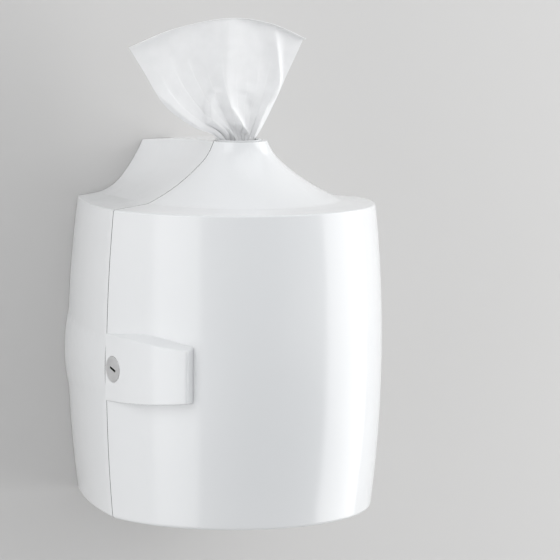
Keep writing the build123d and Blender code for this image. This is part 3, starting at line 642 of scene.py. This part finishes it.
# How they go up the sheet: share of the way up, depth in mm and how far they overlap
wipe_gather = (
    (0.0, 2.8, 1.2),
    (0.08, 4.5, 2.4),
    (0.2, 4.5, 4.2),
    (0.27, 1.3, 5.6),
    (0.36, 0.7, 4.6),
    (0.5, 0.34, 2.7),
    (0.66, 0.12, 1.0),
    (0.82, 0.03, 0.2),
    (1.0, 0.0, 0.0),
)


def gathered(up):
    """Depth and overlap of the pleats at a share of the way up."""
    index = max(i for i, level in enumerate(wipe_gather[:-1]) if level[0] <= up)
    below, above = wipe_gather[index], wipe_gather[index + 1]
    part = (up - below[0]) / (above[0] - below[0])
    return [a + (b - a) * part for a, b in zip(below[1:], above[1:])]


def pleat_wave(share, up):
    """The wave of the pleats at a place on the sheet, forward positive, from about -1 to 1."""
    crowded = PLEATS * share + CROWDING * math.sin(TURN * share + 0.6)
    uneven = 0.8 + 0.3 * math.sin(3.1 + 9.0 * share + 2.0 * up)
    return uneven * min(1.0, share / HEM, (1 - share) / HEM) * math.sin(TURN * crowded)


def wrinkle(share, up, across, along, seed):
    """Soft noise over the sheet, with about so many features across it and along it."""
    return noise.noise(Vector((share * across, up * along, seed)))


# The wipe's grid and its thickness in metres, then in mm how far it stands in front of the neck's
# axis, how far its free edge leans back and how deep its large and its small wrinkles are, and
# the share of the way up over which these and the folds grow from the held foot
WIPE_COLUMNS, WIPE_ROWS = 288, 120
WIPE_THICKNESS = 0.0004
WIPE_FORWARD, WIPE_LEAN = 0.3, 2.4
LARGE_WRINKLES, SMALL_WRINKLES = 2.6, 0.55
HELD_SHARE = 0.25


def wipe_row(up):
    """Points across the drawn wipe at a share of the way up from its foot."""
    line = [between(guide, up) for guide in wipe_guides]
    depth, overlap = gathered(up)
    row = []
    for column in range(WIPE_COLUMNS + 1):
        share = column / WIPE_COLUMNS
        pleat = pleat_wave(share, up)
        eased = share + overlap * pleat / (TURN * PLEATS)
        x, height = between(line, eased)
        forward = WIPE_FORWARD - WIPE_LEAN * up
        forward += sum(standing(fold, eased, up) for fold in wipe_folds)
        forward += LARGE_WRINKLES * wrinkle(share, up, 3.2, 2.2, 2.7) * (0.25 + up)
        forward += SMALL_WRINKLES * wrinkle(share, up, 9.0, 6.0, 5.1) * (0.2 + up)
        forward = forward * min(1.0, up / HELD_SHARE) + depth * pleat
        row.append(Vector((x / MM, NECK_Y - forward / MM, UNDERSIDE + height / MM)))
    return row


sheet_grid = [wipe_row(row / WIPE_ROWS) for row in range(WIPE_ROWS + 1)]
drawn_wipe = mesh_of_rows("drawn_wipe", sheet_grid, closed=False)
thicken(drawn_wipe, WIPE_THICKNESS)
finish_piece(drawn_wipe, wipe_cloth, "wipe", "wipe_cloth", "wipe_sheet")


# The refill: roll, film bag and the strand drawn out of the roll's middle
def round_row(radius, height, count, shift=(0.0, 0.0)):
    """A ring of points about the axis of the neck; radius and height in mm, by the turn."""
    row = []
    for column in range(count):
        turn = TURN * column / count
        across = radius(turn)
        x = (shift[0] + across * math.cos(turn)) / MM
        y = NECK_Y + (shift[1] + across * math.sin(turn)) / MM
        row.append(Vector((x, y, height(turn) / MM)))
    return row


def ripple(turn, place, pace, seed):
    """Smooth noise that closes round a turn."""
    spot = Vector((math.cos(turn) * pace, math.sin(turn) * pace, place))
    return noise.noise(spot + Vector((0, 0, seed)))


def heights(node):
    """The lowest and highest place of a node, in mm."""
    low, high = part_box(node)
    return MM * low[2], MM * high[2]


# The roll: radius and bore in mm, points round it, steps up its wall, down its bore and across
# its end, and the inset of the first ring of the end from the wall and of the last from the bore
roll_foot, roll_top = heights("wipes_roll")
ROLL_RADIUS, ROLL_BORE = 110.0, 19.0
ROLL_POINTS, ROLL_WALL_STEPS, ROLL_BORE_STEPS, ROLL_END_STEPS = 120, 14, 12, 150
ROLL_RIM, BORE_RIM = 1.2, 0.5

# How its wall lies, in mm: height of its bevelled edges, setback, step at the end of the last
# sheet and ripples; then how far before +X the step is, as a share of a turn
ROLL_EDGE, WALL_SETBACK, SHEET_STEP, WALL_RIPPLES = 2.5, 0.9, 0.7, 0.5
STEP_PLACE = 0.11

# How its ends lie, in mm: setback of the top, height of a layer's ridge, ripples, how far the
# layers by the bore are drawn up and over which distance that fades, and setback of the foot
TOP_SETBACK, LAYER_RIDGE, END_RIPPLES = 1.2, 0.9, 0.7
DRAWN_UP, DRAWN_FADE, FOOT_SETBACK = 2.2, 7.0, 0.4


def roll_wall(share):
    """One ring of the roll's wall: slack layers, with the end of the last sheet as a step."""
    level = roll_foot + ROLL_EDGE + (roll_top - roll_foot - 2 * ROLL_EDGE) * share

    def radius(turn):
        step = SHEET_STEP * ((turn / TURN + STEP_PLACE) % 1.0)
        slack = WALL_RIPPLES * ripple(turn, 2.0 * share, 1.6, 3.0)
        return ROLL_RADIUS - WALL_SETBACK + step + slack

    def height(turn):
        return level + 0.3 * ripple(turn, share, 2.0, 8.0)

    return round_row(radius, height, ROLL_POINTS)


def roll_end(across, top):
    """One ring of the roll's end, where each wound layer stands up as a low ridge."""

    def radius(turn):
        return across + 0.2 * ripple(turn, across, 2.5, 5.0)

    def height(turn):
        if not top:
            return roll_foot + FOOT_SETBACK
        wound = (across / LAYER + turn / TURN) % 1.0
        ridge = LAYER_RIDGE * (1 - abs(2 * wound - 1))
        slack = END_RIPPLES * ripple(turn, across * 0.35, 1.5, 1.0)
        drawn = DRAWN_UP * math.exp((ROLL_BORE - across) / DRAWN_FADE)
        return roll_top - TOP_SETBACK + ridge + slack + drawn

    return round_row(radius, height, ROLL_POINTS)


def roll_bore(share):
    """One ring of the bore, at a share of the way down."""
    level = roll_top - (roll_top - roll_foot) * share

    def radius(turn):
        return ROLL_BORE + 0.8 * ripple(turn, level / 30, 1.2, 4.0)

    return round_row(radius, lambda turn: level, ROLL_POINTS)


end_width = ROLL_RADIUS - ROLL_BORE - ROLL_RIM - BORE_RIM
rings = [
    ROLL_RADIUS - ROLL_RIM - end_width * i / ROLL_END_STEPS for i in range(ROLL_END_STEPS + 1)
]
roll_rows = [roll_wall(i / ROLL_WALL_STEPS) for i in range(ROLL_WALL_STEPS + 1)]
roll_rows += [roll_end(across, True) for across in rings]
roll_rows += [roll_bore(i / ROLL_BORE_STEPS) for i in range(1, ROLL_BORE_STEPS)]
roll_rows += [roll_end(across, False) for across in rings[::-10]]
wound_roll = mesh_of_rows("wound_roll", roll_rows, closed=True, looped=True)
finish_piece(wound_roll, wound_cloth, "housing", "wipe_cloth", "wipes_roll")

# The strand: folded wipes, twisted together, from the bore of the roll up to 8 mm under the top
# of its solid, which the foot of the drawn wipe covers
strand_foot, strand_top = heights("wipe_strand")
strand_top -= 8.0
STRAND_STEPS, STRAND_POINTS, STRAND_RADIUS = 140, 40, 4.3

# Its twist in radians, the shares of its height over which its foot spreads and its tip closes,
# and how far its foot leans along X and Y in mm
STRAND_TWIST = 14.0
SPREAD_SHARE, TIP_SHARE = 0.16, 0.03
FOOT_LEAN = (9.0, -3.0)


def strand_row(share):
    """One ring of the strand: three main lobes that twist on the way up, spread at the foot."""
    level = strand_foot + (strand_top - strand_foot) * share
    twist = STRAND_TWIST * share + 0.8 * math.sin(9 * share)
    foot = max(0.0, 1 - share / SPREAD_SHARE) ** 2
    tip = min(1.0, (1 - share) / TIP_SHARE + 0.25)
    size = (STRAND_RADIUS + 0.35 * math.sin(23 * share)) * tip

    def radius(turn):
        lobes = 1 + 0.17 * math.cos(3 * turn - twist) + 0.06 * math.cos(8 * turn - 1.7 * twist)
        flat = 1 + 0.7 * foot * abs(math.cos(turn))
        return size * lobes * flat * (1 + 0.05 * ripple(turn, 14 * share, 2.0, 6.0))

    shift = tuple(lean * foot for lean in FOOT_LEAN)
    return round_row(radius, lambda turn: level, STRAND_POINTS, shift)


strand_rows = [strand_row(i / STRAND_STEPS) for i in range(STRAND_STEPS + 1)]
twisted_strand = mesh_of_rows("twisted_strand", strand_rows, closed=True, capped=(0, -1))
finish_piece(twisted_strand, wipe_cloth, "wipe", "wipe_cloth", "wipe_strand")

# The film bag: open at the top, slack round the roll and gathered over its shoulder. Radius of
# the bag and of its mouth, height of its shoulder, and how far the film is from the ends of the
# bag's solid, in mm; then points and tucks round it, steps, and its thickness in metres
bag_foot, bag_top = heights("refill_bag")
bag_foot += 0.3
BAG_RADIUS, BAG_MOUTH, BAG_SHOULDER = 112.7, 85.0, 16.0
BAG_CORNER, BAG_HEADROOM = 1.5, 1.2
BAG_POINTS, TUCKS = 180, 34
BAG_FLOOR_SHARES = (0.01, 0.3, 0.6, 0.85, 0.95, 0.985)
BAG_WALL_STEPS, BAG_SHOULDER_STEPS = 60, 18
FILM_THICKNESS = 0.0002

# Slack of the film in mm: large and small at the wall, and at the floor
LARGE_SLACK, SMALL_SLACK, FLOOR_SLACK = 0.55, 0.3, 0.15

# Depth of the tucks in mm: at the top of the wall, at the start of the shoulder, what they gain
# from there to the mouth, and how far they stand up at the mouth
WALL_TUCK, SHOULDER_TUCK, TUCK_GAIN, MOUTH_TUCK = 0.6, 0.48, 1.04, 0.9


def tucked(turn, place, ahead=0.0):
    """The wave of the bag's tucks round a turn, from -1 to 1."""
    return math.sin(TUCKS * turn + ahead + 3 * ripple(turn, place, 2.0, 9.0))


def bag_floor(share):
    """One ring of the bag's floor."""

    def height(turn):
        return bag_foot + FLOOR_SLACK * ripple(turn, 3 * share, 2.0, 2.0)

    return round_row(lambda turn: BAG_RADIUS * share, height, BAG_POINTS)


def bag_wall(share):
    """One ring of the bag's wall, with tucks that deepen on the way up."""
    level = bag_foot + BAG_CORNER + (bag_top - BAG_SHOULDER - bag_foot - BAG_CORNER) * share

    def radius(turn):
        slack = LARGE_SLACK * ripple(turn, 5 * share, 4.0, 1.0)
        slack += SMALL_SLACK * ripple(turn, 16 * share, 12.0, 4.0)
        tuck = WALL_TUCK * share**4 * tucked(turn, share)
        return BAG_RADIUS + slack * min(1.0, 0.3 + 2 * share) + tuck

    return round_row(radius, lambda turn: level, BAG_POINTS)


def bag_shoulder(share):
    """One ring of the bag's shoulder, which bends in to the mouth."""
    bend = math.sin(share * math.pi / 2)
    level = bag_top - BAG_SHOULDER + (BAG_SHOULDER - BAG_HEADROOM) * bend

    def radius(turn):
        tuck = (SHOULDER_TUCK + TUCK_GAIN * share) * tucked(turn, 1 + share)
        return BAG_RADIUS - (BAG_RADIUS - BAG_MOUTH) * share**1.6 + tuck

    def height(turn):
        return level + MOUTH_TUCK * share * tucked(turn, share, ahead=1.2)

    return round_row(radius, height, BAG_POINTS)


bag_rows = [bag_floor(share) for share in BAG_FLOOR_SHARES]
bag_rows += [bag_wall(i / BAG_WALL_STEPS) for i in range(BAG_WALL_STEPS + 1)]
bag_rows += [bag_shoulder(i / BAG_SHOULDER_STEPS) for i in range(1, BAG_SHOULDER_STEPS + 1)]
film_bag = mesh_of_rows("film_bag", bag_rows, closed=True, capped=(0,))
thicken(film_bag, FILM_THICKNESS)
finish_piece(film_bag, clear_film, "housing", "bag_film", "refill_bag")


# Wall, floor and light
STAGE_SIZE = 8.0
UPRIGHT, LEVEL = (math.radians(90), 0, 0), (0, 0, 0)


def stage_plane(name, location, turn, colour, rough):
    """A plain painted plane that belongs to the surroundings."""
    bpy.ops.mesh.primitive_plane_add(size=STAGE_SIZE, location=location, rotation=turn)
    plane = bpy.context.active_object
    plane.name = name
    finish = Finish(name)
    lighter = tuple(1.01 * part for part in colour)
    finish.feed("Base Color", finish.tint(finish.noise(3.0), colour, lighter))
    finish.feed("Roughness", rough)
    plane.data.materials.append(finish.material)


stage_plane("wall", (0, 0.0004, 0), UPRIGHT, (0.605, 0.598, 0.59), 0.9)
stage_plane("floor", (0, -4.0, -1.2), LEVEL, (0.5, 0.5, 0.5), 0.8)

# Each panel of light: its name, place, width, height and power; all face the case's middle
CASE_MIDDLE = (0, -0.14, 0.02)
PANELS = (
    ("right_panel", (1.75, -0.9, 0.1), 1.7, 2.8, 36),
    ("left_panel", (-1.7, -0.6, 0.1), 1.18, 4.6, 27),
    ("front_panel", (1.4, -2.9, 0.8), 2.4, 2.4, 4),
    ("top_panel", (0.45, -0.7, 2.0), 1.8, 1.8, 9),
)
SKY_COLOUR, SKY_STRENGTH = (0.92, 0.94, 0.96, 1), 0.58


def area_light(name, location, width, height, power):
    """A soft rectangular light that faces the middle of the case."""
    light = bpy.data.lights.new(name, "AREA")
    light.shape = "RECTANGLE"
    light.size, light.size_y = width, height
    light.energy = power
    holder = bpy.data.objects.new(name, light)
    scene.collection.objects.link(holder)
    holder.location = location
    holder.rotation_euler = looking(location, CASE_MIDDLE).to_euler()


for panel in PANELS:
    area_light(*panel)
world = bpy.data.worlds.new("world")
world.use_nodes = True
sky = world.node_tree.nodes["Background"]
sky.inputs["Color"].default_value = SKY_COLOUR
sky.inputs["Strength"].default_value = SKY_STRENGTH
scene.world = world
